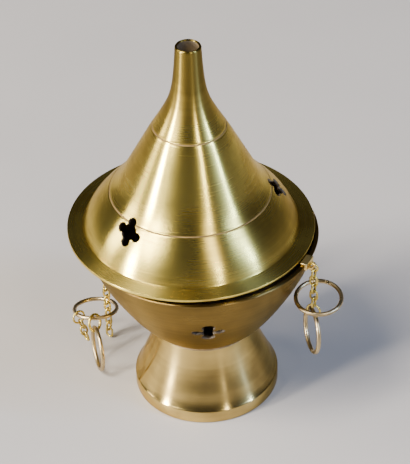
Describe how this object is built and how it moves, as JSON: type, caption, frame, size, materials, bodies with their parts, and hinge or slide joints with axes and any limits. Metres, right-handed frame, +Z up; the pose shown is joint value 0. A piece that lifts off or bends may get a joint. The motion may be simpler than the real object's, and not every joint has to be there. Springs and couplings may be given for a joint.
{
  "type": "thurible censer",
  "caption": "Turned brass thurible: hollow flared foot, vented bowl, lift-off conical chimney lid with vents, and two chain and ring sets hung from pierced rim lugs.",
  "frame": {"origin": "centre of the foot's base, on the plane it stands on", "axes": "+Z up along the foot and bowl's axis; -Y to the front, the side shown with a bowl vent; +X to the front's right, the side of the shorter chain"},
  "size_m": [0.079, 0.0704, 0.1145],
  "materials": {
    "lid_brass": "lathe-turned satin, lightly tarnished",
    "bowl_brass": "lathe-turned satin, lightly tarnished",
    "foot_brass": "lathe-turned satin, polished on the flare",
    "grate_brass": "dull, smoked",
    "fastener_brass": "plain turned",
    "lug_brass": "bright",
    "ring_brass": "drawn wire, dulled",
    "chain_brass": "bright drawn wire"
  },
  "bodies": {
    "censer": {"foot_pedestal": "foot_brass", "bowl": "bowl_brass", "rim_lug_front": "lug_brass", "rim_lug_back": "lug_brass", "foot_screw": "fastener_brass", "foot_screw_washer": "fastener_brass", "foot_screw_nut": "fastener_brass"},
    "lid": {"lid": "lid_brass"},
    "charcoal_grate": {"charcoal_grate": "grate_brass"},
    "front_chain_jump_ring": {"front_chain_jump_ring": "chain_brass"},
    "front_chain_link_01": {"front_chain_link_01": "chain_brass"},
    "front_chain_link_02": {"front_chain_link_02": "chain_brass"},
    "front_chain_link_03": {"front_chain_link_03": "chain_brass"},
    "front_chain_link_04": {"front_chain_link_04": "chain_brass"},
    "front_chain_link_05": {"front_chain_link_05": "chain_brass"},
    "front_chain_end_connector": {"front_chain_end_connector": "chain_brass"},
    "front_hanging_ring": {"front_hanging_ring": "ring_brass"},
    "front_loose_ring": {"front_loose_ring": "ring_brass"},
    "back_chain_jump_ring": {"back_chain_jump_ring": "chain_brass"},
    "back_chain_link_01": {"back_chain_link_01": "chain_brass"},
    "back_chain_link_02": {"back_chain_link_02": "chain_brass"},
    "back_chain_link_03": {"back_chain_link_03": "chain_brass"},
    "back_chain_link_04": {"back_chain_link_04": "chain_brass"},
    "back_chain_link_05": {"back_chain_link_05": "chain_brass"},
    "back_chain_link_06": {"back_chain_link_06": "chain_brass"},
    "back_chain_link_07": {"back_chain_link_07": "chain_brass"},
    "back_chain_link_08": {"back_chain_link_08": "chain_brass"},
    "back_chain_link_09": {"back_chain_link_09": "chain_brass"},
    "back_chain_link_10": {"back_chain_link_10": "chain_brass"},
    "back_chain_link_11": {"back_chain_link_11": "chain_brass"},
    "back_chain_link_12": {"back_chain_link_12": "chain_brass"},
    "back_chain_link_13": {"back_chain_link_13": "chain_brass"},
    "back_chain_link_14": {"back_chain_link_14": "chain_brass"},
    "back_chain_link_15": {"back_chain_link_15": "chain_brass"},
    "back_chain_link_16": {"back_chain_link_16": "chain_brass"},
    "back_chain_link_17": {"back_chain_link_17": "chain_brass"},
    "back_chain_link_18": {"back_chain_link_18": "chain_brass"},
    "back_chain_link_19": {"back_chain_link_19": "chain_brass"},
    "back_chain_link_20": {"back_chain_link_20": "chain_brass"},
    "back_gathering_ring": {"back_gathering_ring": "ring_brass"},
    "back_tail_connector": {"back_tail_connector": "chain_brass"},
    "back_tail_link_01": {"back_tail_link_01": "chain_brass"},
    "back_tail_link_02": {"back_tail_link_02": "chain_brass"},
    "back_tail_link_03": {"back_tail_link_03": "chain_brass"},
    "back_ring_coupler": {"back_ring_coupler": "chain_brass"},
    "back_end_ring": {"back_end_ring": "ring_brass"}
  },
  "joints": [
    {"name": "lid_lift", "type": "slide", "parent": "censer", "child": "lid", "axis": [0, 0, 1], "range_m": [0, 0.06]},
    {"name": "charcoal_grate_lift", "type": "slide", "parent": "censer", "child": "charcoal_grate", "axis": [0, 0, 1], "range_m": [0, 0.005]},
    {"name": "front_jump_ring_swing", "type": "hinge", "parent": "censer", "child": "front_chain_jump_ring", "pos_m": [0.03071, -0.01668, 0.05325], "axis": [-0.4772, -0.8788, 0], "range_deg": [0, 12]},
    {"name": "front_chain_link_01_swing", "type": "hinge", "parent": "front_chain_jump_ring", "child": "front_chain_link_01", "pos_m": [0.03071, -0.01668, 0.05195], "axis": [-0.4772, -0.8788, 0], "range_deg": [0, 12]},
    {"name": "front_chain_link_02_swing", "type": "hinge", "parent": "front_chain_link_01", "child": "front_chain_link_02", "pos_m": [0.03071, -0.01668, 0.04938], "axis": [-0.4772, -0.8788, 0], "range_deg": [0, 12]},
    {"name": "front_chain_link_03_swing", "type": "hinge", "parent": "front_chain_link_02", "child": "front_chain_link_03", "pos_m": [0.03071, -0.01668, 0.04683], "axis": [-0.4772, -0.8788, 0], "range_deg": [0, 12]},
    {"name": "front_chain_link_04_swing", "type": "hinge", "parent": "front_chain_link_03", "child": "front_chain_link_04", "pos_m": [0.03071, -0.01668, 0.04428], "axis": [-0.4772, -0.8788, 0], "range_deg": [0, 12]},
    {"name": "front_chain_link_05_swing", "type": "hinge", "parent": "front_chain_link_04", "child": "front_chain_link_05", "pos_m": [0.03071, -0.01668, 0.04173], "axis": [-0.4772, -0.8788, 0], "range_deg": [0, 12]},
    {"name": "front_connector_swing", "type": "hinge", "parent": "front_chain_link_05", "child": "front_chain_end_connector", "pos_m": [0.03071, -0.01668, 0.03916], "axis": [-0.4772, -0.8788, 0], "range_deg": [0, 12]},
    {"name": "front_hanging_ring_swing", "type": "hinge", "parent": "front_chain_end_connector", "child": "front_hanging_ring", "pos_m": [0.03071, -0.01668, 0.03671], "axis": [0.2212, -0.9752, 0], "range_deg": [0, 30]},
    {"name": "front_loose_ring_tilt", "type": "hinge", "parent": "front_chain_end_connector", "child": "front_loose_ring", "pos_m": [0.03071, -0.01668, 0.0407], "axis": [-0.4772, -0.8788, 0], "range_deg": [0, 12]},
    {"name": "back_jump_ring_swing", "type": "hinge", "parent": "censer", "child": "back_chain_jump_ring", "pos_m": [-0.02931, 0.01903, 0.05325], "axis": [0.5446, 0.8387, 0], "range_deg": [0, 3]},
    {"name": "back_chain_link_01_swing", "type": "hinge", "parent": "back_chain_jump_ring", "child": "back_chain_link_01", "pos_m": [-0.02931, 0.01903, 0.05195], "axis": [0.5446, 0.8387, 0], "range_deg": [0, 3]},
    {"name": "back_chain_link_02_swing", "type": "hinge", "parent": "back_chain_link_01", "child": "back_chain_link_02", "pos_m": [-0.02931, 0.01903, 0.04938], "axis": [0.5446, 0.8387, 0], "range_deg": [0, 3]},
    {"name": "back_chain_link_03_swing", "type": "hinge", "parent": "back_chain_link_02", "child": "back_chain_link_03", "pos_m": [-0.02931, 0.01903, 0.04683], "axis": [0.5446, 0.8387, 0], "range_deg": [0, 3]},
    {"name": "back_chain_link_04_swing", "type": "hinge", "parent": "back_chain_link_03", "child": "back_chain_link_04", "pos_m": [-0.02931, 0.01903, 0.04428], "axis": [0.5446, 0.8387, 0], "range_deg": [0, 3]},
    {"name": "back_chain_link_05_swing", "type": "hinge", "parent": "back_chain_link_04", "child": "back_chain_link_05", "pos_m": [-0.02931, 0.01903, 0.04173], "axis": [0.5446, 0.8387, 0], "range_deg": [0, 3]},
    {"name": "back_chain_link_06_swing", "type": "hinge", "parent": "back_chain_link_05", "child": "back_chain_link_06", "pos_m": [-0.02931, 0.01903, 0.03918], "axis": [0.5446, 0.8387, 0], "range_deg": [0, 3]},
    {"name": "back_chain_link_07_swing", "type": "hinge", "parent": "back_chain_link_06", "child": "back_chain_link_07", "pos_m": [-0.02931, 0.01903, 0.03663], "axis": [0.5446, 0.8387, 0], "range_deg": [0, 3]},
    {"name": "back_chain_link_08_swing", "type": "hinge", "parent": "back_chain_link_07", "child": "back_chain_link_08", "pos_m": [-0.02931, 0.01903, 0.03408], "axis": [0.5446, 0.8387, 0], "range_deg": [0, 3]},
    {"name": "back_chain_link_09_swing", "type": "hinge", "parent": "back_chain_link_08", "child": "back_chain_link_09", "pos_m": [-0.02931, 0.01903, 0.03153], "axis": [0.5446, 0.8387, 0], "range_deg": [0, 3]},
    {"name": "back_chain_link_10_swing", "type": "hinge", "parent": "back_chain_link_09", "child": "back_chain_link_10", "pos_m": [-0.02931, 0.01903, 0.02898], "axis": [0.5446, 0.8387, 0], "range_deg": [0, 3]},
    {"name": "back_chain_link_11_swing", "type": "hinge", "parent": "back_chain_link_10", "child": "back_chain_link_11", "pos_m": [-0.02931, 0.01903, 0.02643], "axis": [0.5446, 0.8387, 0], "range_deg": [0, 3]},
    {"name": "back_chain_link_12_swing", "type": "hinge", "parent": "back_chain_link_11", "child": "back_chain_link_12", "pos_m": [-0.02931, 0.01903, 0.02388], "axis": [0.5446, 0.8387, 0], "range_deg": [0, 3]},
    {"name": "back_chain_link_13_swing", "type": "hinge", "parent": "back_chain_link_12", "child": "back_chain_link_13", "pos_m": [-0.02931, 0.01903, 0.02133], "axis": [0.5446, 0.8387, 0], "range_deg": [0, 3]},
    {"name": "back_chain_link_14_swing", "type": "hinge", "parent": "back_chain_link_13", "child": "back_chain_link_14", "pos_m": [-0.02931, 0.01903, 0.01878], "axis": [0.5446, 0.8387, 0], "range_deg": [0, 3]},
    {"name": "back_chain_link_15_swing", "type": "hinge", "parent": "back_chain_link_14", "child": "back_chain_link_15", "pos_m": [-0.02931, 0.01903, 0.01623], "axis": [0.5446, 0.8387, 0], "range_deg": [0, 3]},
    {"name": "back_chain_link_16_swing", "type": "hinge", "parent": "back_chain_link_15", "child": "back_chain_link_16", "pos_m": [-0.02931, 0.01903, 0.01368], "axis": [0.5446, 0.8387, 0], "range_deg": [0, 3]},
    {"name": "back_chain_link_17_swing", "type": "hinge", "parent": "back_chain_link_16", "child": "back_chain_link_17", "pos_m": [-0.02931, 0.01903, 0.01113], "axis": [0.5446, 0.8387, 0], "range_deg": [0, 3]},
    {"name": "back_chain_link_18_swing", "type": "hinge", "parent": "back_chain_link_17", "child": "back_chain_link_18", "pos_m": [-0.02931, 0.01903, 0.00858], "axis": [0.5446, 0.8387, 0], "range_deg": [0, 3]},
    {"name": "back_chain_link_19_swing", "type": "hinge", "parent": "back_chain_link_18", "child": "back_chain_link_19", "pos_m": [-0.02931, 0.01903, 0.00603], "axis": [0.5446, 0.8387, 0], "range_deg": [0, 3]},
    {"name": "back_chain_link_20_swing", "type": "hinge", "parent": "back_chain_link_19", "child": "back_chain_link_20", "pos_m": [-0.02931, 0.01903, 0.00348], "axis": [0.5446, 0.8387, 0], "range_deg": [0, 3]},
    {"name": "back_gathering_ring_slide", "type": "slide", "parent": "back_chain_link_15", "child": "back_gathering_ring", "axis": [0, 0, 1], "range_m": [0, 0.006]},
    {"name": "back_tail_connector_swing", "type": "hinge", "parent": "back_gathering_ring", "child": "back_tail_connector", "pos_m": [-0.03804, 0.01382, 0.0138], "axis": [-0.5736, 0.7994, -0.1787], "range_deg": [0, 15]},
    {"name": "back_tail_link_01_swing", "type": "hinge", "parent": "back_tail_connector", "child": "back_tail_link_01", "pos_m": [-0.03742, 0.01371, 0.01161], "axis": [-0.5736, 0.7994, -0.1787], "range_deg": [0, 10]},
    {"name": "back_tail_link_02_swing", "type": "hinge", "parent": "back_tail_link_01", "child": "back_tail_link_02", "pos_m": [-0.03691, 0.01383, 0.00911], "axis": [-0.5736, 0.7994, -0.1787], "range_deg": [0, 10]},
    {"name": "back_tail_link_03_swing", "type": "hinge", "parent": "back_tail_link_02", "child": "back_tail_link_03", "pos_m": [-0.0364, 0.01396, 0.00662], "axis": [-0.5736, 0.7994, -0.1787], "range_deg": [0, 10]},
    {"name": "back_ring_coupler_swing", "type": "hinge", "parent": "back_gathering_ring", "child": "back_ring_coupler", "pos_m": [-0.0328, 0.01115, 0.0144], "axis": [-1, 0, 0], "range_deg": [0, 10]},
    {"name": "back_end_ring_swing", "type": "hinge", "parent": "back_ring_coupler", "child": "back_end_ring", "pos_m": [-0.03303, 0.00952, 0.01229], "axis": [-0.9676, -0.2494, 0.0399], "range_deg": [0, 10]}
  ]
}
